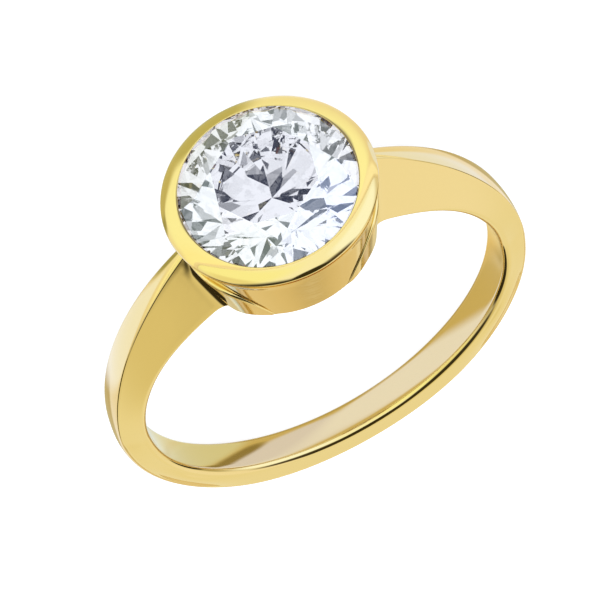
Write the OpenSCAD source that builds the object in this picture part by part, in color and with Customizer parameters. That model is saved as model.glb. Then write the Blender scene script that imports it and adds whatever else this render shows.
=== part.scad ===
// Solitaire ring: a round brilliant in a polished gold cup, on a tapering band that lies on its side.
// The pieces are made upright, with the centre of the finger hole at the origin, the finger along Y
// and the stone at +Z. Then lying() lays the ring down on its +Y side, as it rests on a table.

/* [Finger hole and band] */
// Diameter of the finger hole, which is a US size 7
hole_d = 17.3; // [15.7:0.4:18.9]
// Thickness of the band at the bottom
band_t = 1.4; // [1.2:0.05:1.6]
// Depth of the outside's centre below the hole's, which thins the band on its way up
outer_drop = 0.08; // [0.04:0.01:0.12]
// Width of the band along the finger at the bottom, inside
bottom_w = 1.66; // [1.4:0.02:1.7]
// Growth of half the width for each millimetre of height
flare = 0.03; // [0.02:0.002:0.04]
// Width left flat across the outside below the shoulders, between the eased corners
ease_w = 1; // [0.9:0.02:1.04]
// Slope of the eased corners
ease_slope = 1; // [0.8:0.05:1.2]
// Depth of the eased corners' centre below the hole's, which fades them out at the bottom
ease_drop = 0.33; // [0.31:0.01:0.4]

/* [Shoulders] */
// Angle from the stone at which each shoulder leaves the round band
shoulder_start = 88; // [84:0.5:89]
// Radius of the long curve on each shoulder
shoulder_r = 14.7; // [14.4:0.1:15.4]
// Width of the band along the finger, inside, level with the centre of the hole
shoulder_w = 1.92; // [1.8:0.02:2]
// Fall of half the width for each millimetre outwards
side_slope = 0.3; // [0.27:0.01:0.32]
// Height of the side faces' own centre above the hole's, which widens the shoulders towards the cup
side_lift = 1.1; // [0.9:0.05:1.3]

/* [Cup] */
// Outer diameter at the rim
rim_d = 8.88; // [8.84:0.02:9.2]
// Height of the rim's inner edge above the top of the finger hole
cup_h = 4.07; // [3.9:0.01:4.4]
// Outer diameter at the top of the finger hole
foot_d = 7.5; // [7.3:0.1:7.8]
// Fall of the polished rim from its inner edge to its rolled outer edge
rim_fall = 0.27; // [0.24:0.01:0.35]
// Radius of the rolled outer edge
rim_edge_r = 0.14; // [0.1:0.01:0.2]
// Diameter of the light hole below the stone
light_hole_d = 5.4; // [4.6:0.1:5.6]
// Thickness of the collar that the shoulders wrap round the foot
collar_t = 0.08; // [0.06:0.01:0.14]
// Distance from the middle at which the collar runs out in the finger hole
collar_end = 1.9; // [1.6:0.1:2.2]
// Slope of the collar's top edge
collar_slope = 37; // [32:1:42]

/* [Stone] */
// Diameter at the girdle
stone_d = 8; // [7.8:0.02:8.1]
// Width of the stone's edge that the rim covers all round
rim_cover = 0.2; // [0.15:0.01:0.25]
// Width of the table as a share of the diameter
table_share = 0.57; // [0.53:0.01:0.62]
// Slope of the crown's main facets
crown_slope = 34; // [31:0.5:36]
// Slope of the pavilion's main facets
pavilion_slope = 40.75; // [39.5:0.25:41.5]
// Thickness of the girdle as a share of the diameter
girdle_share = 0.025; // [0.02:0.005:0.035]
// Reach of the star facets from the table to the girdle
star_share = 0.5; // [0.45:0.01:0.6]
// Reach of the lower half facets from the girdle to the point
lower_half_share = 0.78; // [0.7:0.01:0.85]
// Turn of the facets about the stone's axis
stone_turn = 8; // [0:1:44]
// Clear gap between the stone and the metal
seat_gap = 0.04; // [0.03:0.01:0.06]

/* [Hidden] */
$fn = 128;
far = 40;

hole_r = hole_d / 2;
band_r = hole_r + band_t - outer_drop;

// Side faces: cones about a line above the hole's centre, and the same ones upside down for the lower band
side_apex_r = norm([hole_r, side_lift]) + shoulder_w / 2 / side_slope;
ease_apex_r = norm([band_r, ease_drop]) + ease_w / 2 / ease_slope;

// Shoulder curves: tangent to the band's outside, centred across the ring
shoulder_x = (shoulder_r - band_r) * sin(shoulder_start);
shoulder_z = (shoulder_r - band_r) * cos(shoulder_start) + outer_drop;

// Cup section: a wall and a rim that run tangent into the rolled outer edge
rim_z = hole_r + cup_h;
visible_r = stone_d / 2 - rim_cover;
roll_r = rim_d / 2 - rim_edge_r;
roll_z = rim_z - rim_fall - rim_edge_r;
foot_r = foot_d / 2;
foot_z = hole_r;
skirt = 1.5;
wall_turn = asin(rim_edge_r / norm([roll_r - foot_r, roll_z - foot_z]));
wall_angle = atan2(roll_z - foot_z, roll_r - foot_r) - wall_turn;
rim_turn = asin(rim_edge_r / norm([roll_r - visible_r, rim_z - roll_z]));
rim_angle = rim_turn - atan2(rim_z - roll_z, roll_r - visible_r);

// Stone, worked down from the rim that holds its edge
stone_r = stone_d / 2;
table_r = stone_r * table_share;
rim_lip = 0.06;
crown_gap = seat_gap / cos(crown_slope);
pavilion_gap = seat_gap / cos(pavilion_slope);
girdle_top = rim_z - rim_lip - crown_gap - rim_cover * tan(crown_slope);
girdle_low = girdle_top - girdle_share * stone_d;
table_z = girdle_top + (stone_r - table_r) * tan(crown_slope);
point_z = girdle_low - stone_r * tan(pavilion_slope);
star_r = table_r * cos(22.5) + star_share * (stone_r - table_r * cos(22.5));
star_z = girdle_top + (stone_r - star_r * cos(22.5)) * tan(crown_slope);
half_r = stone_r * (1 - lower_half_share);
half_z = girdle_low - (stone_r - half_r * cos(22.5)) * tan(pavilion_slope);

// Rest on a table: the rolled edge of the rim and the lowest edge of the band touch it
low_y = bottom_w / 2 - band_t * flare;
low_z = hole_r + band_t;
tilt = atan2(roll_r - low_y, roll_z + low_z) + asin(rim_edge_r / norm([roll_r - low_y, roll_z + low_z]));
lift = low_y * cos(tilt) + low_z * sin(tilt);
band_reach = low_z * cos(tilt) + low_y * sin(tilt);
table_reach = max([for (k = [0:7]) table_z * cos(tilt) + table_r * sin(stone_turn + 45 * k) * sin(tilt)]);

module lying() {
    translate([0, (band_reach - table_reach) / 2, lift]) rotate([tilt - 90, 0, 0]) children();
}

// Solid disc in the plane of the finger hole, with its middle at x and z
module disc(r, x = 0, z = 0, width = far) {
    translate([x, 0, z]) rotate([90, 0, 0]) cylinder(h = width, r = r, center = true);
}

// Two cones base to base that narrow from the middle of the band to a rim of radius apex_r
module double_cone(apex_r, slope, z) {
    translate([0, 0, z]) for (turn = [90, -90])
        rotate([turn, 0, 0]) cylinder(h = apex_r * slope, r1 = apex_r, r2 = 0);
}

// Everything above a height
module above(z) {
    translate([-far / 2, -far / 2, z]) cube(far);
}

// Side view of the band: round below, with a long curve up each shoulder
module band_outline() {
    disc(band_r, 0, -outer_drop);
    intersection() {
        disc(shoulder_r, -shoulder_x, -shoulder_z);
        disc(shoulder_r, shoulder_x, -shoulder_z);
        above(band_r * cos(shoulder_start) - outer_drop);
    }
}

// Edge-on view of the band: two flat faces that spread towards the stone
module band_wedge() {
    height = far + bottom_w / 2 / flare;
    translate([0, 0, far - hole_r]) rotate([90, 0, 90]) linear_extrude(far, center = true)
        polygon([[0, -height], [height * flare, 0], [-height * flare, 0]]);
}

// Upper half of the side faces
module side_half() {
    intersection() {
        double_cone(side_apex_r, side_slope, side_lift);
        above(0);
    }
}

module shank() {
    intersection() {
        band_outline();
        band_wedge();
        union() {
            side_half();
            intersection() {
                rotate([0, 180, 0]) side_half();
                double_cone(ease_apex_r, ease_slope, -ease_drop);
            }
        }
    }
}

module cup() {
    rotate_extrude() {
        polygon([
            [0, foot_z - skirt],
            [foot_r - skirt / tan(wall_angle), foot_z - skirt],
            [roll_r + rim_edge_r * sin(wall_angle), roll_z - rim_edge_r * cos(wall_angle)],
            [roll_r, roll_z],
            [roll_r - rim_edge_r * sin(rim_angle), roll_z + rim_edge_r * cos(rim_angle)],
            [visible_r, rim_z],
            [0, rim_z]
        ]);
        translate([roll_r, roll_z]) circle(rim_edge_r);
    }
}

// Ends of the shoulders, wrapped round the foot and run out towards the middle on both faces
module collar() {
    low_r = foot_r + collar_t - skirt / tan(wall_angle);
    high_r = low_r + roll_z / tan(wall_angle);
    for (side = [0, 180]) rotate([0, 0, side]) intersection() {
        translate([0, 0, foot_z - skirt]) cylinder(h = roll_z, r1 = low_r, r2 = high_r);
        translate([collar_end, 0, hole_r]) rotate([0, -collar_slope, 0])
            translate([-far / 2, -far / 2, -far]) cube(far);
        translate([0, -far / 2, 0]) cube(far);
    }
}

// Room for the stone: light hole, seat, groove for the girdle and open rim
module stone_room() {
    rotate_extrude() polygon([
        [0, 0],
        [light_hole_d / 2, 0],
        [light_hole_d / 2, point_z - pavilion_gap + light_hole_d / 2 * tan(pavilion_slope)],
        [stone_r + seat_gap, girdle_low - pavilion_gap + seat_gap * tan(pavilion_slope)],
        [stone_r + seat_gap, girdle_top + crown_gap - seat_gap * tan(crown_slope)],
        [visible_r, rim_z - rim_lip],
        [visible_r, far],
        [0, far]
    ]);
}

module shank_and_cup() {
    color("gold") lying() difference() {
        union() {
            shank();
            cup();
            collar();
        }
        disc(hole_r);
        stone_room();
    }
}

// Round brilliant: table, 8 stars, 8 kites and 16 halves above the girdle, 16 halves and 8 mains below
module stone() {
    function ring_of(count, r, z, turn) =
        [for (k = [0:count - 1]) [r * cos(turn + k * 360 / count), r * sin(turn + k * 360 / count), z]];
    table = 0;
    star = table + 8;
    upper = star + 8;
    lower = upper + 16;
    half = lower + 16;
    tip = half + 8;
    facets = concat(
        [[for (k = [7:-1:0]) table + k]],
        [for (k = [0:7]) [table + k, table + (k + 1) % 8, star + k]],
        [for (k = [0:7]) [table + k, star + k, upper + 2 * k, star + (k + 7) % 8]],
        [for (k = [0:7]) [star + k, upper + 2 * k + 1, upper + 2 * k]],
        [for (k = [0:7]) [star + k, upper + (2 * k + 2) % 16, upper + 2 * k + 1]],
        [for (k = [0:15]) [upper + k, upper + (k + 1) % 16, lower + (k + 1) % 16, lower + k]],
        [for (k = [0:7]) [half + k, lower + 2 * k, lower + 2 * k + 1]],
        [for (k = [0:7]) [half + k, lower + 2 * k + 1, lower + (2 * k + 2) % 16]],
        [for (k = [0:7]) [tip, half + (k + 7) % 8, lower + 2 * k, half + k]]
    );
    color("white") lying() rotate([0, 0, stone_turn]) polyhedron(concat(
        ring_of(8, table_r, table_z, 0),
        ring_of(8, star_r, star_z, 22.5),
        ring_of(16, stone_r, girdle_top, 0),
        ring_of(16, stone_r, girdle_low, 0),
        ring_of(8, half_r, half_z, 22.5),
        [[0, 0, point_z]]
    ), facets);
}

shank_and_cup();
stone();
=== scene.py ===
# %% [markdown]
# # A solitaire ring in polished yellow gold
#
# The ring lies on its side on a pale table: a round brilliant cut cubic zirconia sits in a gold
# cup, and two shoulders run down from the cup into a plain tapering band. This lesson dresses the
# two solids of the CAD model, `shank_and_cup` and `stone`, for a close product picture.

# %% Load the frame and start with nothing selected
import math

import bpy
from mathutils import Matrix, Vector


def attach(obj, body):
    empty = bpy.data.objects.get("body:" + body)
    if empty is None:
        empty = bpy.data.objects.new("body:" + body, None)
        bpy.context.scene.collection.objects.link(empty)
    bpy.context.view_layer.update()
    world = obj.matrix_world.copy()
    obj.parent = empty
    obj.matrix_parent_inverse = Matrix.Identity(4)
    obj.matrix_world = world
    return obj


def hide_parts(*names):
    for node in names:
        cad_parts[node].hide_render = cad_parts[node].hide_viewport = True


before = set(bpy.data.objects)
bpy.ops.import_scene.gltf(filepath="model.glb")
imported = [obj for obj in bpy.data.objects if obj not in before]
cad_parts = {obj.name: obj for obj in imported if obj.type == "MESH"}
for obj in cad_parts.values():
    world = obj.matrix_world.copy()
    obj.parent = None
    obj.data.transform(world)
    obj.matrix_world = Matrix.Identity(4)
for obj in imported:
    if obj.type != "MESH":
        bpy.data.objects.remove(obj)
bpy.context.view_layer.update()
MM = 0.001
bpy.ops.object.select_all(action="DESELECT")

# %% [markdown]
# ## Helpers for colours and nodes
#
# Colours are written as the hex codes of a paint chart, which are meant for a screen. Blender
# calculates with linear light, so one function turns a code into linear values. Lamps, cards and
# films are given as linear red, green and blue at once, because light can be brighter than white.
# A second function adds a node with its settings and links, so that each material reads from top
# to bottom.

# %% Colours and nodes
MIX_A, MIX_B, MIX_OUT = 4, 5, 1   # sockets of a Mix node for vectors: two inputs and the output


def linear(code):
    """Linear RGBA of an sRGB hex code such as "F0CE78"."""
    parts = [int(code[i:i + 2], 16) / 255 for i in (0, 2, 4)]
    return (*[p / 12.92 if p <= 0.04045 else ((p + 0.055) / 1.055) ** 2.4 for p in parts], 1)


def add_node(tree, kind, inputs=None, **settings):
    """Adds a node to a tree. An input is a value, or the output socket to link to it."""
    node = tree.nodes.new(kind)
    for name, value in settings.items():
        setattr(node, name, value)
    for name, value in (inputs or {}).items():
        if isinstance(value, bpy.types.NodeSocket):
            tree.links.new(value, node.inputs[name])
        else:
            node.inputs[name].default_value = value
    return node


print("white", linear("FFFFFF"))

# %% [markdown]
# ## The camera
#
# The picture is taken with a long lens from about 20 cm, so that near and far parts look almost
# equally large. The camera looks down on the ring from the side of the stone and is rolled far
# over, which makes the lying ring seem to stand. Its place and turn are given as numbers, because
# a camera that only aims at a point can't be rolled as exactly.

# %% Camera
CAMERA_AT = (-18.26774, 167.92185, 135.90165)     # mm
CAMERA_TURN = (-46.90743, -24.61068, -15.15741)   # degrees
camera_data = bpy.data.cameras.new("long_lens")
camera_data.sensor_width = 36
camera_data.lens = 300
camera_data.clip_start = 0.01
camera = bpy.data.objects.new("camera", camera_data)
bpy.context.scene.collection.objects.link(camera)
camera.location = Vector(CAMERA_AT) * MM
camera.rotation_euler = [math.radians(a) for a in CAMERA_TURN]
bpy.context.scene.camera = camera
print("camera in mm:", [round(v / MM, 1) for v in camera.location])

# %% [markdown]
# ## The table
#
# The ring lies on a sheet of opal acrylic that is lit from below, a usual ground for small shiny
# goods, because it stays white right up to them. Lamps under a thin sheet would take long to
# render. A plane that glows a little by itself looks the same. Light that goes through the stone
# doesn't see it, because the stone gets surroundings of its own further down.

# %% Table
TABLE_SIZE, SHEET_GLOW = 4, 0.86   # metres, and the light from below as a share of white
bpy.ops.mesh.primitive_plane_add(size=TABLE_SIZE, location=(0, 0, 0))
table = bpy.context.object
table.name = "table"
acrylic = bpy.data.materials.new("backlit_opal_acrylic_sheet")
acrylic.use_nodes = True
sheet = acrylic.node_tree.nodes["Principled BSDF"]
sheet.inputs["Base Color"].default_value = linear("737477")
sheet.inputs["Roughness"].default_value = 0.8
sheet.inputs["Specular IOR Level"].default_value = 0.1
sheet.inputs["Emission Color"].default_value = linear("FFFFFF")
sheet.inputs["Emission Strength"].default_value = SHEET_GLOW
table.data.materials.append(acrylic)
table.visible_transmission = False
print("table", TABLE_SIZE, "m wide, glows with", SHEET_GLOW)

# %% [markdown]
# ## What the gold sees of the table
#
# Polished gold is a mirror, and where it faces down it shows the table. An evenly white table
# gives flat metal, so strips of tinted film and small cards are laid round a ring, where the lens
# doesn't see them. Here the camera would see anything on the table, so they are one thin film just
# above it that only reflections see. In each place it dims or tints the light of the table, and
# may add some light of its own. Its spots are round with soft edges, and each is painted over the
# ones before it.

# %% Film on the table
FILM_SIZE, FILM_LIFT = 2.4, 0.00001   # metres
bpy.ops.mesh.primitive_plane_add(size=FILM_SIZE, location=(0, 0, FILM_LIFT))
film = bpy.context.object
film.name = "film"
film.visible_camera = film.visible_diffuse = film.visible_transmission = False
film.visible_volume_scatter = film.visible_shadow = False
tint = bpy.data.materials.new("tinted_film")
tint.use_nodes = True
film_tree = tint.node_tree
film_tree.nodes.remove(film_tree.nodes["Principled BSDF"])
place = add_node(film_tree, "ShaderNodeTexCoord").outputs["Object"]


def spot(x, y, full, end):
    """1 within a distance in mm of a place on the table, fading to 0 at another."""
    away = add_node(film_tree, "ShaderNodeVectorMath", {0: place, 1: (x * MM, y * MM, 0)},
                    operation="DISTANCE")
    return add_node(film_tree, "ShaderNodeMapRange", {
        "Value": away.outputs["Value"], "From Min": end * MM, "From Max": full * MM,
    }, interpolation_type="SMOOTHSTEP").outputs[0]


print("film", FILM_SIZE, "m wide")

# %% Spots of the film
SHEET_DIMMED = 0.77   # the share of the table's light that all of the film lets through
NO_GLOW, ALL_CLEAR = (0.0, 0.0, 0.0), (1.0, 1.0, 1.0)
FILM = {  # x, y, full and end radius in mm, light added, light let through
    "behind the ring": (0, -600, 585, 589, NO_GLOW, (0.87, 0.74, 0.42)),
    "behind on the right": (45, -58, 18, 30, NO_GLOW, (0.94, 0.92, 0.76)),
    "close behind on the right": (13, -15, 3, 7, NO_GLOW, (0.93, 0.85, 0.58)),
    "left behind the ring": (-70, -40, 45, 60, NO_GLOW, (0.75, 0.7, 0.42)),
    # Painted shade: a dim warm ring round the band stands for the band's own shade on the table
    # beside it, which its lower edges mirror. The next spot clears the middle again.
    "painted shade under the band": (0, -1.9, 11.6, 12.2, NO_GLOW, (0.62, 0.55, 0.32)),
    "clear of the band": (0, -1.9, 7.6, 8.2, NO_GLOW, ALL_CLEAR),
    # Painted reflection: the warm dim spot in the hole stands for the gold band, which the collars
    # mirror there instead of the table.
    "in the hole": (0, -1.9, 7.6, 8.2, NO_GLOW, (0.73, 0.66, 0.42)),
    "low on the left in the hole": (-1.0, -7.7, 1.2, 1.8, (0.0, 0.1, 0.95), (0.86, 0.86, 0.86)),
    "low on the right in the hole": (1.5, -7.8, 1.5, 2.6, (0.0, 0.15, 1.05), ALL_CLEAR),
    "left in the hole": (-4.6, -7.2, 1.2, 1.9, (0.0, 0.1, 0.2), (0.82, 0.82, 0.75)),
    "streak in the hole": (-2.7, -8.0, 0.2, 0.6, NO_GLOW, (0.35, 0.3, 0.16)),
    "right in the hole": (8.5, -4.3, 1, 3, NO_GLOW, (0.9, 0.75, 0.38)),
    "under the left collar": (-8.2, -6.8, 1.2, 3, (0.0, 0.1, 0.2), (0.9, 0.9, 0.8)),
    "left of the ring": (-15, 4.5, 5, 7, (0.1, 0.28, 0.95), ALL_CLEAR),
    "right of the ring": (23, 5, 10, 12, (0.02, 0.2, 0.95), ALL_CLEAR),
    "before the lip": (-4, 38, 22, 32, (0.2, 0.4, 0.3), ALL_CLEAR),
    "left of the lip": (-48, 46, 30, 50, (0.2, 0.32, 0.1), ALL_CLEAR),
    "right of the lip": (70, 60, 45, 58, (0.2, 0.3, 0.4), ALL_CLEAR),
    "before the stone": (1.3, 22.3, 6, 8, NO_GLOW, (0.3, 0.32, 0.42)),
    # Painted shade: the next three dim spots stand for the ring's own shade on the table where the
    # lip touches it.
    "painted shade beside the lip": (-7.5, 10, 1.5, 3.4, NO_GLOW, (0.45, 0.48, 0.26)),
    "under the lip": (-1.2, 11.0, 1.7, 3.3, NO_GLOW, (0.64, 0.68, 0.4)),
    "under the lip on the left": (-5.2, 10.8, 1.6, 3.0, NO_GLOW, (0.68, 0.7, 0.42)),
}
print("film with", len(FILM), "spots")

# %% Paint the film
glow, clear = NO_GLOW, [SHEET_DIMMED] * 3
for name, (x, y, full, end, added, passed) in FILM.items():
    share = spot(x, y, full, end)
    dimmed = [SHEET_DIMMED * v for v in passed]
    glow = add_node(film_tree, "ShaderNodeMix", {"Factor": share, MIX_A: glow, MIX_B: added},
                    data_type="VECTOR", label=name).outputs[MIX_OUT]
    clear = add_node(film_tree, "ShaderNodeMix", {"Factor": share, MIX_A: clear, MIX_B: dimmed},
                     data_type="VECTOR", label=name).outputs[MIX_OUT]
own = add_node(film_tree, "ShaderNodeEmission", {"Color": glow}).outputs[0]
through = add_node(film_tree, "ShaderNodeBsdfTransparent", {"Color": clear}).outputs[0]
both = add_node(film_tree, "ShaderNodeAddShader", {0: own, 1: through}).outputs[0]
film_tree.links.new(both, film_tree.nodes["Material Output"].inputs["Surface"])
film.data.materials.append(tint)
print("film painted with", len(film_tree.nodes), "nodes")

# %% [markdown]
# ## The light tent
#
# Small jewellery is photographed in a tent of white cloth with cards hung in it, because the metal
# shows nothing but what stands round it: the sheen of gold is a slow change from bright to grey in
# the tent's wall, and its crisp lines are dark cards. The tent could be modelled, but as the
# world's background it costs hardly any time. Each panel or card is a round patch of light in one
# direction with a soft edge, painted over the ones before it.

# %% Light tent
world = bpy.data.worlds.new("light_tent")
world.use_nodes = True
bpy.context.scene.world = world
bpy.context.scene.view_settings.view_transform = "Standard"   # white light stays white
tent = world.node_tree
towards = add_node(tent, "ShaderNodeTexCoord").outputs["Generated"]


def direction(azimuth, elevation):
    """Unit vector at degrees from +Y towards +X, and above the horizon."""
    a, e = math.radians(azimuth), math.radians(elevation)
    return math.sin(a) * math.cos(e), math.cos(a) * math.cos(e), math.sin(e)


print("the tent's ceiling is at", [round(v) for v in direction(0, 90)])

# %% Panels and cards of the tent
TENT_CLOTH = (0.95, 1.0, 1.1)
DARK_CARD, BLACK_CARD = (0.05, 0.045, 0.02), (0.04, 0.035, 0.02)
PANELS = {  # azimuth and elevation of the middle, full and end radius in degrees, light
    "front": (0, 30, 30, 75, (1.25, 1.45, 1.75)),
    "front left": (318, 15, 22, 48, (1.26, 1.47, 1.22)),
    "left": (290, 28, 6, 24, (1.08, 1.16, 0.92)),
    "front right": (55, 28, 20, 36, (1.3, 1.6, 2.4)),
    "side right": (112, 12, 8, 24, (0.6, 0.58, 0.42)),
    "side left": (248, 4, 8, 24, (0.6, 0.6, 0.5)),
    "back": (170, 20, 38, 60, (1.06, 1.1, 1.02)),
    "back right": (138, 42, 12, 35, (1.14, 1.2, 1.35)),
    "back left": (205, 46, 8, 30, (0.91, 0.9, 0.69)),
    "dark left": (250, 58, 20, 36, (0.05, 0.05, 0.04)),
    "dark right": (95, 70, 14, 27, (0.1, 0.09, 0.07)),
    "ceiling": (190, 77, 22, 28, DARK_CARD),
    "front of the ceiling": (0, 82, 13, 17, DARK_CARD),
    "card for the inner edge": (170, 58, 7, 10, DARK_CARD),
    "card for the left edge": (226, 8, 18, 25, BLACK_CARD),
    "card for the right edge": (120, 2, 11, 16, BLACK_CARD),
}
light = TENT_CLOTH
for name, (azimuth, elevation, full, end, colour) in PANELS.items():
    facing = add_node(tent, "ShaderNodeVectorMath", {0: towards, 1: direction(azimuth, elevation)},
                      operation="DOT_PRODUCT", label=name)
    share = add_node(tent, "ShaderNodeMapRange", {
        "Value": facing.outputs["Value"], "From Min": math.cos(math.radians(end)),
        "From Max": math.cos(math.radians(full)),
    }, interpolation_type="SMOOTHSTEP").outputs[0]
    light = add_node(tent, "ShaderNodeMix", {"Factor": share, MIX_A: light, MIX_B: colour},
                     data_type="VECTOR").outputs[MIX_OUT]
tent.links.new(light, tent.nodes["Background"].inputs["Color"])
print("tent with", len(PANELS), "panels")

# %% [markdown]
# ## The softbox
#
# A large round softbox stands above and before the ring and lights the table evenly. A spotlight
# would be too hard for that. It is hidden from the gold's reflections, where it would burn a white
# disk, and from the light that goes through the stone.

# %% Softbox
SOFTBOX_AT, SOFTBOX_SIZE, SOFTBOX_POWER = (-0.07, 0.29, 0.42), 0.4, 8.6   # metres and watts
bpy.ops.object.light_add(type="AREA", location=SOFTBOX_AT)
softbox = bpy.context.object
softbox.name = "softbox"
softbox.data.shape = "DISK"
softbox.data.size = SOFTBOX_SIZE
softbox.data.energy = SOFTBOX_POWER
softbox.rotation_euler = (-softbox.location).to_track_quat("-Z", "Y").to_euler()
softbox.visible_glossy = softbox.visible_transmission = False
print("softbox", SOFTBOX_POWER, "W")

# %% [markdown]
# ## What the stone sees
#
# A brilliant is lively when its facets send back both white and black. In a plain white tent it
# would be pale and flat. Black cards could hang in the tent, but then the gold would mirror them
# too. So a dome goes round the ring that only the light through the stone sees. A cell pattern
# deals white, grey and black cards over it by chance, each a little narrower than a hand at arm's
# length. Light is thrown about many times inside the stone, and with too few bounces its facets
# turn black, so the number is raised.

# %% Dome with cards
DOME_R = 0.25                   # metres
CARD = 9                        # width of a card in degrees
BLACK, WHITE = 0.26, 0.36       # each card draws a number from 0 to 1: black below, white above
CARD_SHIFT = (5.0, 7.0, 3.0)    # another shift deals the cards anew
BOUNCES = 32
bpy.ops.mesh.primitive_uv_sphere_add(segments=48, ring_count=24, radius=DOME_R)
dome = bpy.context.object
dome.name = "dome"
dome.visible_camera = dome.visible_diffuse = dome.visible_glossy = False
dome.visible_volume_scatter = dome.visible_shadow = False
cards = bpy.data.materials.new("white_dome_with_black_cards")
cards.use_nodes = True
tree = cards.node_tree
tree.nodes.remove(tree.nodes["Principled BSDF"])
at = add_node(tree, "ShaderNodeTexCoord").outputs["Object"]
outwards = add_node(tree, "ShaderNodeVectorMath", {0: at}, operation="NORMALIZE").outputs[0]
hung = add_node(tree, "ShaderNodeVectorMath", {0: outwards, 1: CARD_SHIFT}, operation="ADD")
cells = add_node(tree, "ShaderNodeTexVoronoi",
                 {"Vector": hung.outputs[0], "Scale": 1 / math.radians(CARD)})
tone = add_node(tree, "ShaderNodeSeparateColor", {"Color": cells.outputs["Color"]}).outputs["Red"]
white = add_node(tree, "ShaderNodeMapRange", {"Value": tone, "From Min": BLACK, "From Max": WHITE})
around = add_node(tree, "ShaderNodeMix", {
    "Factor": white.outputs[0], MIX_A: (0.0, 0.004, 0.02), MIX_B: (0.96, 0.98, 1.05),
}, data_type="VECTOR").outputs[MIX_OUT]
shine = add_node(tree, "ShaderNodeEmission", {"Color": around}).outputs[0]
tree.links.new(shine, tree.nodes["Material Output"].inputs["Surface"])
dome.data.materials.append(cards)
bpy.context.scene.cycles.max_bounces = bpy.context.scene.cycles.glossy_bounces = BOUNCES
print("cards", CARD, "degrees wide, a share of", 1 - WHITE, "is white and", BLACK, "is black")

# %% [markdown]
# ## Polished gold
#
# The real ring is 18-carat yellow gold, filed, emeried and polished on a felt wheel until it
# mirrors. A metal has no colour but that of its reflection, so the base colour is the tint of the
# mirror. Two things keep it from being perfect: the wheel leaves the surface very slightly wavy,
# and its grit leaves hair lines. Both could be dents in the mesh, but they are far too fine, so
# the waves go to the bump and the hair lines to the roughness.

# %% Gold, polished on a felt wheel
WAVE, WAVE_HEIGHT = 2.5 * MM, 0.01 * MM
HAIR, HAIR_LENGTH = 0.06 * MM, 1.5 * MM   # drawn coarse, the real hair lines are 0.005 mm wide
MIRROR, HAZY = 0.045, 0.08                # roughness between the hair lines and in them
gold = bpy.data.materials.new("polished_18_carat_gold")
gold.use_nodes = True
tree = gold.node_tree
metal = tree.nodes["Principled BSDF"]
metal.inputs["Base Color"].default_value = linear("E3C67E")
metal.inputs["Metallic"].default_value = 1
at = add_node(tree, "ShaderNodeTexCoord").outputs["Object"]
waves = add_node(tree, "ShaderNodeTexNoise", {"Vector": at, "Scale": 1 / WAVE, "Detail": 1.0})
stretched = add_node(tree, "ShaderNodeMapping", {
    "Vector": at, "Scale": (1 / HAIR_LENGTH, 1 / HAIR_LENGTH, 1 / HAIR)})
lines = add_node(tree, "ShaderNodeTexNoise", {
    "Vector": stretched.outputs[0], "Scale": 1.0, "Detail": 2.0})
haze = add_node(tree, "ShaderNodeMapRange", {
    "Value": lines.outputs["Fac"], "From Min": 0.3, "From Max": 0.7,
    "To Min": MIRROR, "To Max": HAZY})
relief = add_node(tree, "ShaderNodeBump", {
    "Height": waves.outputs["Fac"], "Strength": 0.15, "Distance": WAVE_HEIGHT})
tree.links.new(haze.outputs[0], metal.inputs["Roughness"])
tree.links.new(relief.outputs[0], metal.inputs["Normal"])
print("waves", WAVE / MM, "mm long, hair lines", HAIR / MM, "mm wide")

# %% [markdown]
# ## Cubic zirconia
#
# The stone is clear and colourless, and it is cut and polished in flat facets on a lap. It bends
# light far more than glass, with an index of about 2.17, so nearly all that enters by the table
# is thrown back and forth and comes out by the top again. Painting light and dark facets would
# only be right from one side, so that is left to the shader and the facets of the CAD stone. The
# lap leaves faint polishing lines, here a light haze on the facets.

# %% Zirconia, cut and polished on a lap
LAP_LINE, LAP_DEPTH = 0.1 * MM, 0.001 * MM   # drawn coarse, the real lines are under 0.01 mm
LAP_HAZE = 0.03
zirconia = bpy.data.materials.new("faceted_cubic_zirconia")
zirconia.use_nodes = True
tree = zirconia.node_tree
clear_stone = tree.nodes["Principled BSDF"]
clear_stone.inputs["Base Color"].default_value = linear("FFFFFF")
clear_stone.inputs["Transmission Weight"].default_value = 1
clear_stone.inputs["IOR"].default_value = 2.17
at = add_node(tree, "ShaderNodeTexCoord").outputs["Object"]
turned = add_node(tree, "ShaderNodeMapping", {
    "Vector": at, "Rotation": (0.4, 0.7, 0.2), "Scale": (0.1, 1, 0.1)})
laps = add_node(tree, "ShaderNodeTexNoise", {
    "Vector": turned.outputs[0], "Scale": 1 / LAP_LINE, "Detail": 1.0})
haze = add_node(tree, "ShaderNodeMapRange", {
    "Value": laps.outputs["Fac"], "From Min": 0.5, "From Max": 0.8,
    "To Min": 0.0, "To Max": LAP_HAZE})
relief = add_node(tree, "ShaderNodeBump", {
    "Height": laps.outputs["Fac"], "Strength": 0.05, "Distance": LAP_DEPTH})
tree.links.new(haze.outputs[0], clear_stone.inputs["Roughness"])
tree.links.new(relief.outputs[0], clear_stone.inputs["Normal"])
print("index of the stone", clear_stone.inputs["IOR"].default_value)

# %% [markdown]
# ## Materials of the CAD solids
#
# The facets of a cut stone are flat, and the CAD solid has each of them exactly, so the stone is
# shown as it is and only gets its material. Modelling it again would gain nothing. The metal is
# replaced by finer pieces further down. Its solid is hidden then, and gets the gold all the same,
# so that nothing is left without a material.

# %% Materials of the CAD nodes
for name, material in (("shank_and_cup", gold), ("stone", zirconia)):
    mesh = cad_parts[name].data
    mesh.materials.clear()
    mesh.materials.append(material)
    print(name, "is of", material.name)

# %% [markdown]
# ## From the upright ring to the table
#
# The metal is easiest to shape upright and in millimetres: the finger along Y, the stone on top
# at +Z, the centre of the finger hole at the origin. One matrix then lays each finished piece
# down where the CAD ring rests, on the rolled edge of the rim and the lowest edge of the band.

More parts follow.
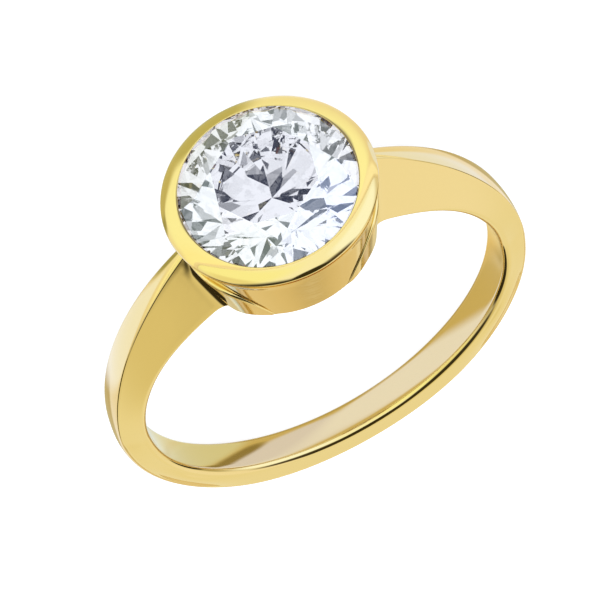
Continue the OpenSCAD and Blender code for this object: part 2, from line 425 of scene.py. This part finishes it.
# %% Lay a piece down
TILT, SHIFT, LIFT = 9.2807, -1.88854, 2.39846   # degrees, and mm along Y and up
LYING = (Matrix.Scale(MM, 4) @ Matrix.Translation((0, SHIFT, LIFT))
         @ Matrix.Rotation(math.radians(TILT - 90), 4, "X"))


def finish_piece(piece, material):
    """Lays an upright piece down and gives it its material and its place in the frame."""
    piece.data.transform(LYING)
    piece.data.materials.clear()
    piece.data.materials.append(material)
    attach(piece, "root")
    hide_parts("shank_and_cup")
    print(piece.name, len(piece.data.polygons), "faces")


print("the ring lies tilted by", TILT, "degrees")

# %% [markdown]
# ## Pieces from points
#
# A shape whose section changes all the way can't be spun or extruded. It is lofted: one section
# after another is placed along the piece, faces join each to the next, and both ends are closed.

# %% New meshes and lofts
def new_mesh(name, points, faces=(), edges=()):
    """A new mesh object from its points, in upright millimetres, selected and active."""
    mesh = bpy.data.meshes.new(name)
    mesh.from_pydata(points, edges, faces)
    piece = bpy.data.objects.new(name, mesh)
    bpy.context.scene.collection.objects.link(piece)
    bpy.ops.object.select_all(action="DESELECT")
    bpy.context.view_layer.objects.active = piece
    piece.select_set(True)
    return piece


def loft(name, sections, crease):
    """A closed piece through its sections, smooth but for edges over a crease in degrees."""
    count, last = len(sections[0]), len(sections) - 1
    faces = [(k * count + j, k * count + (j + 1) % count,
              (k + 1) * count + (j + 1) % count, (k + 1) * count + j)
             for k in range(last) for j in range(count)]
    faces += [tuple(range(count)), tuple(last * count + j for j in reversed(range(count)))]
    piece = new_mesh(name, [point for section in sections for point in section], faces)
    bpy.ops.object.mode_set(mode="EDIT")
    bpy.ops.mesh.select_all(action="SELECT")
    bpy.ops.mesh.normals_make_consistent(inside=False)
    bpy.ops.object.mode_set(mode="OBJECT")
    bpy.ops.object.shade_smooth_by_angle(angle=math.radians(crease))
    return piece


def smooth_step(low, high, value):
    """0 at low, 1 at high, and an even S-shaped change between them."""
    t = min(max((value - low) / (high - low), 0), 1)
    return t * t * (3 - 2 * t)


print("halfway up the S", smooth_step(0, 1, 0.5))

# %% [markdown]
# ## The band
#
# The band is cast or forged as one bar: round inside, tapered towards the bottom, with flat sides
# that draw together on the way out, so that the shoulders end in a narrow bright strip. A spun
# ring would be the same all round, so this is a loft. First come its outline, seen along the
# finger, and its width, both at an angle from the stone.

# %% Outline and width of the band
HOLE_R = 8.65                            # the finger hole
BAND_R, OUTER_DROP = 9.97, 0.08          # the outside, and how far its centre lies below the hole's
SHOULDER_R, SHOULDER_START = 14.7, 88    # the flatter arc of the shoulder, and where it leaves
SHOULDER_X = (SHOULDER_R - BAND_R) * math.sin(math.radians(SHOULDER_START))
SHOULDER_Z = (SHOULDER_R - BAND_R) * math.cos(math.radians(SHOULDER_START)) + OUTER_DROP
BOTTOM_W, FLARE = 1.66, 0.03             # width at the bottom, and how fast half of it grows
SHOULDER_W, SIDE_SLOPE = 1.92, 0.3       # width beside the hole, and how fast half of it shrinks
SIDE_LIFT = 1.1                          # a side face is two cones, above and below the centre
WIDTH_BLEND = 0.03                       # how softly one width takes over from the other
SIDE_APEX = math.hypot(HOLE_R, SIDE_LIFT) + SHOULDER_W / 2 / SIDE_SLOPE


def outside(angle):
    """Distance from the centre of the hole to the outside of the band."""
    x, z = math.sin(angle), math.cos(angle)
    if math.degrees(angle) < SHOULDER_START:
        shoulder = -SHOULDER_X * x - SHOULDER_Z * z
        reach = shoulder ** 2 - SHOULDER_X ** 2 - SHOULDER_Z ** 2 + SHOULDER_R ** 2
        return shoulder + math.sqrt(reach)
    drop = -OUTER_DROP * z
    return drop + math.sqrt(drop ** 2 - OUTER_DROP ** 2 + BAND_R ** 2)


def half_width(r, angle):
    """Half of the band's width at a distance from the centre: the least of wedge and side face."""
    x, z = r * math.sin(angle), r * math.cos(angle)
    wedge = BOTTOM_W / 2 + FLARE * (z + HOLE_R)
    side = SIDE_SLOPE * (SIDE_APEX - math.hypot(x, abs(z) - SIDE_LIFT))
    return (wedge + side - math.sqrt((wedge - side) ** 2 + WIDTH_BLEND ** 2)) / 2


print("the band is", round(outside(math.pi) - HOLE_R, 2), "mm thick at the bottom")

# %% [markdown]
# ## Where the band meets the cup
#
# The shoulders run into the leaning wall of the cup in a hollow that is filed out after soldering.
# A bevel between two pieces would need them joined first. Here each section near the cup is
# widened instead, as far as a smooth union of the side face and the wall reaches.

# %% The cup's wall and the hollow beside it
ROLL_R, ROLL_Z, ROLL = 4.30, 12.31, 0.14   # centre and radius of the rim's rolled edge
FOOT_R, FOOT_Z = 3.75, 8.65                # foot of the cup
wall_turn = math.asin(ROLL / math.hypot(ROLL_R - FOOT_R, ROLL_Z - FOOT_Z))
WALL = math.atan2(ROLL_Z - FOOT_Z, ROLL_R - FOOT_R) - wall_turn
HOLLOW, HOLLOW_START, HOLLOW_FULL = 0.8, -0.1, 0.9   # its size, and where it grows, below the top
INTO_WALL = 0.02
HALVINGS = 16


def wall_r(z):
    """Radius of the cup's outer wall at a height."""
    return FOOT_R + (z - FOOT_Z) / math.tan(WALL)


def meets_cup(x, z, half, depth):
    """Half the width, carried over to the cup's wall in a hollow that ends at the outer face."""
    r = wall_r(z) - INTO_WALL
    soft = HOLLOW * smooth_step(HOLLOW_START, HOLLOW_FULL, depth)
    low = max(half, math.sqrt(max(r * r - x * x, 0)))
    high = low + soft / 2
    for _ in range(HALVINGS):
        y = (low + high) / 2
        off_side, off_wall = y - half, math.hypot(x, y) - r
        near = max(soft - abs(off_side - off_wall), 0) / soft
        if min(off_side, off_wall) > near * near * soft / 4:
            high = y
        else:
            low = y
    return low


print("the cup's wall leans by", round(90 - math.degrees(WALL), 1), "degrees")

# %% [markdown]
# ## One section of the band
#
# A file leaves flat faces, and the polishing wheel rounds their edges: hardly on the shoulders,
# more beside the hole. The edges catch the light, so each is a real arc in the section. A bevel
# modifier would give every edge the same width.

# %% One section of the band
CROWNED = 0.06                               # the outer face is this much higher in its middle
SHARP, ROUNDER, SHARPER = 0.08, 0.34, 0.32   # outer edge: shoulder, more beside, less below
BESIDE, BELOW = (84, 98), (115, 165)         # degrees from the stone over which it changes
INNER_SHARP, INNER_ROUNDER = 0.1, 0.17       # inner edge: near the cup, and more further down
DOWN = (25, 60)                              # degrees over which that changes
BORE_STEPS, INNER_STEPS, SIDE_STEPS, OUTER_STEPS, FACE_STEPS = 4, 12, 12, 10, 6


def rounded(before, corner, after, radius, steps):
    """Points of an arc of this radius that rounds a corner between two straight lines."""
    u, v = (before - corner).normalized(), (after - corner).normalized()
    half = u.angle(v) / 2
    centre = corner + (u + v).normalized() * radius / math.sin(half)
    start = corner + u * radius / math.tan(half) - centre
    end = corner + v * radius / math.tan(half) - centre
    turn = math.atan2(start.x * end.y - start.y * end.x, start.dot(end))
    return [centre + Matrix.Rotation(turn * k / steps, 2) @ start for k in range(steps + 1)]


def half_section(angle):
    """Half a section, from the middle of the inside to the middle of the outside."""
    degrees = math.degrees(angle)
    out_r = outside(angle)
    inner_w, outer_w = half_width(HOLE_R, angle), half_width(out_r, angle)
    outer_round = (SHARP + ROUNDER * smooth_step(*BESIDE, degrees)
                   - SHARPER * smooth_step(*BELOW, degrees))
    inner_round = INNER_SHARP + INNER_ROUNDER * smooth_step(*DOWN, degrees)
    inner = Vector((HOLE_R, inner_w))
    outer = Vector((out_r - CROWNED, outer_w))
    inner_arc = rounded(Vector((HOLE_R, 0)), inner, outer, inner_round, INNER_STEPS)
    outer_arc = rounded(inner, outer, Vector((out_r + CROWNED, 0)), outer_round, OUTER_STEPS)
    points = [Vector((HOLE_R, inner_arc[0].y * k / BORE_STEPS)) for k in range(BORE_STEPS)]
    points += inner_arc
    start, end = inner_arc[-1], outer_arc[0]
    sag = half_width((start.x + end.x) / 2, angle) - (inner_w + outer_w) / 2
    for k in range(1, SIDE_STEPS):
        t = k / SIDE_STEPS
        points.append(start.lerp(end, t) + Vector((0, sag * 4 * t * (1 - t))))
    points += outer_arc
    edge = outer_arc[-1]
    rise = (out_r + CROWNED - edge.x) / 2
    for k in range(1, FACE_STEPS + 1):
        t = 1 - k / FACE_STEPS
        points.append(Vector((edge.x + rise * (1 - t ** 2), edge.y * t)))
    return points


print(len(half_section(math.pi)), "points in half a section")

# %% Sections near the cup
NEAR_CUP = 0.8                         # cosine of the angle where the hollow is over
UNDER_LIFT, UNDER_DEPTH = 0.04, 0.5    # mm: lifts the lowest part of the hidden ends,
UNDER_START, UNDER_END = 22.5, 25      # up to these degrees, so that it keeps out of the hole


def near_cup(points, angle):
    """The same half section, widened towards the cup and kept just inside its foot."""
    if math.cos(angle) < NEAR_CUP:
        return points
    x, z = math.sin(angle), math.cos(angle)
    lifted = UNDER_LIFT * (1 - smooth_step(UNDER_START, UNDER_END, math.degrees(angle)))
    out_r = outside(angle)
    widened = []
    for p in points:
        half = half_width(p.x, angle)
        wider = meets_cup(p.x * x, p.x * z, half, out_r - p.x) / half
        widened.append(Vector((p.x + lifted * (p.x < HOLE_R + UNDER_DEPTH), p.y * wider)))
    return widened


print("the hollow is over", round(math.degrees(math.acos(NEAR_CUP))), "degrees from the stone")

# %% Loft of the band
END, FINE_SPAN = 19, 14   # degrees: where the band ends inside the cup, and how far it is finer
FINE, COARSE = 48, 230    # sections in each
side = [END + FINE_SPAN * k / FINE for k in range(FINE)]
rest = [END + FINE_SPAN + (360 - 2 * (END + FINE_SPAN)) * k / COARSE for k in range(COARSE + 1)]
sections = []
for degrees in side + rest + [360 - a for a in reversed(side)]:
    angle = math.radians(degrees)
    half_angle = min(angle, 2 * math.pi - angle)
    half = near_cup(half_section(half_angle), half_angle)
    loop = [(p.x, -p.y) for p in half] + [(p.x, p.y) for p in half[-2:0:-1]]
    sections.append([(r * math.sin(angle), y, r * math.cos(angle)) for r, y in loop])
finish_piece(loft("band", sections, crease=40), gold)

# %% [markdown]
# ## The cup
#
# The cup is turned: a cone-shaped wall with a broad lip that is rubbed over the edge of the stone
# and polished round. It could be carved from a cone with many cuts, but all on it runs round one
# axis, so its profile is drawn once and spun. Its foot is then fitted to the finger hole, as the
# real one is filed to it. The line at which the collar's top edge runs round it comes first,
# because a thin slit in the wall follows that line.

# %% Height of the collar
COLLAR_TOP, COLLAR_REACH, COLLAR_LEVEL = 10.8, 3.8, 10
COLLAR_TIPS = {  # for each side: tip from the middle, and the slit's depth, middle and reach
    -1: (2.2, 0.2, 2.75, 0.55),
    1: (1.25, 0.1, 2.3, 1.2),
}


def on_hole(r, turn):
    """Height at which a point this far from the cup's axis lies on the finger hole."""
    return math.sqrt(HOLE_R ** 2 - (r * math.cos(turn)) ** 2)


def collar_edge(turn, tip):
    """Height of the collar's top edge at a turn round the cup, counted from its shoulder."""
    x = min(wall_r(COLLAR_LEVEL) * math.cos(turn), COLLAR_REACH)
    steep = (COLLAR_TOP - on_hole(tip, 0)) / (COLLAR_REACH - tip) ** 2
    return COLLAR_TOP - steep * (COLLAR_REACH - x) ** 2


print("the collars rise to", round(collar_edge(0, COLLAR_TIPS[1][0]), 1), "mm")

# %% Profile of the cup
STONE_R, SEAT_GAP = 4.0, 0.04
GIRDLE_TOP, GIRDLE_LOW, POINT_Z = 12.4768, 12.2768, 8.83023   # heights of the CAD stone
PAVILION, CROWN = math.radians(40.75), math.radians(34)       # and its angles
VISIBLE_R, RIM_Z, RIM_EDGE = 3.8, 12.72, 0.03   # the lip's inner edge, and its rounding
ROLL_END, LIP_PULL = 38, (4.16, 12.69)          # where the roll ends, and what bends the lip
EDGE_START, EDGE_END = 110, 180                 # degrees round the inner edge, which faces inwards
LIGHT_R = 2.7                                   # the light hole below the stone
GROOVE = 0.13                                   # depth of the dark line under the lip
GROOVE_LOW, GROOVE_FLOOR, GROOVE_TOP = 0.14, 0.13, 0.03   # its edges, below the wall's top
ROLL_STEPS, LIP_STEPS, EDGE_STEPS, WALL_STEPS = 12, 14, 4, 44


def arc(x, z, radius, first, last, steps):
    """Points of an arc round (x, z), angles in degrees from the outward direction."""
    turns = [math.radians(first + (last - first) * k / steps) for k in range(steps + 1)]
    return [(x + radius * math.cos(t), z + radius * math.sin(t)) for t in turns]


def lip():
    """The convex lip, from the rolled edge to the stone."""
    roll = arc(ROLL_R, ROLL_Z, ROLL, math.degrees(WALL) - 90, ROLL_END, ROLL_STEPS)
    a, b, c = Vector(roll[-1]), Vector(LIP_PULL), Vector((VISIBLE_R + RIM_EDGE, RIM_Z))
    curve = [a * (1 - t) ** 2 + b * 2 * t * (1 - t) + c * t * t
             for t in [k / LIP_STEPS for k in range(1, LIP_STEPS + 1)]]
    edge = arc(VISIBLE_R + RIM_EDGE, RIM_Z - RIM_EDGE, RIM_EDGE, EDGE_START, EDGE_END,
               EDGE_STEPS)
    return roll + [tuple(p) for p in curve] + edge


wall_top = ROLL_Z - ROLL * math.cos(WALL)
heights = [FOOT_Z + (wall_top - FOOT_Z) * k / WALL_STEPS for k in range(WALL_STEPS - 1)]
wall = [(wall_r(z), z) for z in heights]
groove_r = wall_r(wall_top) - GROOVE
groove = [(wall_r(wall_top - GROOVE_LOW), wall_top - GROOVE_LOW),
          (groove_r, wall_top - GROOVE_FLOOR), (groove_r, wall_top - GROOVE_TOP)]
pavilion_gap, crown_gap = SEAT_GAP / math.cos(PAVILION), SEAT_GAP / math.cos(CROWN)
inside = [
    (STONE_R + SEAT_GAP, GIRDLE_TOP + crown_gap - SEAT_GAP * math.tan(CROWN)),
    (STONE_R + SEAT_GAP, GIRDLE_LOW - pavilion_gap + SEAT_GAP * math.tan(PAVILION)),
    (LIGHT_R, POINT_Z - pavilion_gap + LIGHT_R * math.tan(PAVILION)),
    (LIGHT_R, FOOT_Z),
]
profile = wall + groove + lip() + inside
print(len(profile), "points in the cup's profile")

# %% Spin the cup
SPIN_STEPS, SAME_PLACE = 256, 0.0005
cup = new_mesh("cup", [(r, 0, z) for r, z in profile],
               edges=[(k, (k + 1) % len(profile)) for k in range(len(profile))])
bpy.ops.object.mode_set(mode="EDIT")
bpy.ops.mesh.select_all(action="SELECT")
bpy.ops.mesh.spin(steps=SPIN_STEPS, angle=2 * math.pi, center=(0, 0, 0), axis=(0, 0, 1))
bpy.ops.mesh.select_all(action="SELECT")
bpy.ops.mesh.remove_doubles(threshold=SAME_PLACE)
bpy.ops.mesh.normals_make_consistent(inside=False)
bpy.ops.object.mode_set(mode="OBJECT")
print("the cup has", len(cup.data.vertices), "points")

# %% Fit the cup's foot to the finger hole
ON_WALL, FIT_ROUNDS = 0.001, 5
SLIT_HALF, SLIT_DROP = 0.3, 0.1   # half the slit's height, and its middle below the collar's edge
for v in cup.data.vertices:
    r, turn = math.hypot(v.co.x, v.co.y), math.atan2(v.co.y, v.co.x)
    if abs(r - wall_r(v.co.z)) < ON_WALL and v.co.z < wall_top:
        share = (wall_top - v.co.z) / (wall_top - FOOT_Z)
        low = FOOT_Z
        for _ in range(FIT_ROUNDS):
            low = on_hole(wall_r(low), turn)
        v.co.z = wall_top - share * (wall_top - low)
        tip, deep, deepest, reach = COLLAR_TIPS[1 if v.co.x > 0 else -1]
        above = v.co.z - collar_edge(math.asin(abs(math.sin(turn))), tip)
        slit = (smooth_step(reach, 0, abs(abs(v.co.x) - deepest))
                * smooth_step(SLIT_HALF, 0, abs(above + SLIT_DROP)))
        r = wall_r(v.co.z) - deep * slit
        v.co.x, v.co.y = r * math.cos(turn), r * math.sin(turn)
    elif v.co.z < FOOT_Z + ON_WALL:
        v.co.z = math.sqrt(HOLE_R ** 2 - v.co.x ** 2)
print("the foot is lowest at", round(on_hole(FOOT_R, 0), 2), "mm over the hole's centre")

# %% Widen the rim a little towards the shoulders
RIM_STRETCH, STRETCH_R = 0.04, VISIBLE_R + 0.05   # as a share, from this radius outwards
STRETCH_START, STRETCH_FULL = 11.6, 12.1          # heights
for v in cup.data.vertices:
    outer = smooth_step(STRETCH_R, ROLL_R, math.hypot(v.co.x, v.co.y))
    v.co.x *= 1 + RIM_STRETCH * outer * smooth_step(STRETCH_START, STRETCH_FULL, v.co.z)
bpy.ops.object.shade_smooth_by_angle(angle=math.radians(40))
cup.visible_transmission = False   # or the stone would show the gold below it in lines
finish_piece(cup, gold)

# %% [markdown]
# ## The collar
#
# The ends of the shoulders are split and wrapped round the cup's foot before they are soldered,
# and each runs out in a tip on the front and the back. It is a thin sleeve that stands off the
# wall a little at its top edge, so that a dark slit shows behind it. It could be cut from a spun
# sleeve, but its edge would be ragged there. Its height changes all the way, so it is lofted from
# one section at each turn round the cup.

# %% One section of a collar
COLLAR_T, COLLAR_ROOT, ROOT_START, ROOT_FULL = 0.05, 0.13, 55, 28   # thickness, more at the root
TIP_T, TIP_H, LEAST_H = 0.01, 0.5, 0.004   # thickness of the tip, how high it grows, least height
COLLAR_IN = 0.05                           # how far it reaches into the wall
EDGE_SHARE, ROWS = 0.8, 8


def collar_section(turn, tip):
    """Section of the collar, from the bottom outside over its top edge to the inside."""
    low = on_hole(wall_r(FOOT_Z), turn)
    height = max(collar_edge(turn, tip) - low, LEAST_H)
    full = COLLAR_T + COLLAR_ROOT * smooth_step(ROOT_START, ROOT_FULL, abs(math.degrees(turn)))
    thick = TIP_T + (full - TIP_T) * smooth_step(0, TIP_H, height)
    round_r = (thick + COLLAR_IN) / 2
    rise = min(round_r, EDGE_SHARE * height)
    levels = [low + (height - rise) * k / ROWS for k in range(ROWS + 1)]
    rows = [(wall_r(z) + thick, z) for z in levels]
    edge_r, edge_z = rows[-1]
    for k in range(1, ROWS + 1):
        a = math.pi * k / ROWS
        rows.append((edge_r - round_r + round_r * math.cos(a), edge_z + rise * math.sin(a)))
    return rows + [(wall_r(z) - COLLAR_IN, z) for z in reversed(levels[:-1])]


print(len(collar_section(0, COLLAR_TIPS[1][0])), "points in a section of the collar")

# %% Loft of the collars
PAST_TIP, HALF_STEPS = 3, 90   # degrees, and sections in half a collar
for side_x, (tip, *_) in COLLAR_TIPS.items():
    last = math.acos(tip / (wall_r(FOOT_Z) + COLLAR_T)) + math.radians(PAST_TIP)
    sections = []
    for turn in [last * k / HALF_STEPS for k in range(-HALF_STEPS, HALF_STEPS + 1)]:
        rows = collar_section(turn, tip)
        rows[0], rows[-1] = [(r, on_hole(r, turn)) for r, z in (rows[0], rows[-1])]
        sections.append([(side_x * r * math.cos(turn), r * math.sin(turn), z) for r, z in rows])
    name = "collar_right" if side_x > 0 else "collar_left"
    finish_piece(loft(name, sections, crease=50), gold)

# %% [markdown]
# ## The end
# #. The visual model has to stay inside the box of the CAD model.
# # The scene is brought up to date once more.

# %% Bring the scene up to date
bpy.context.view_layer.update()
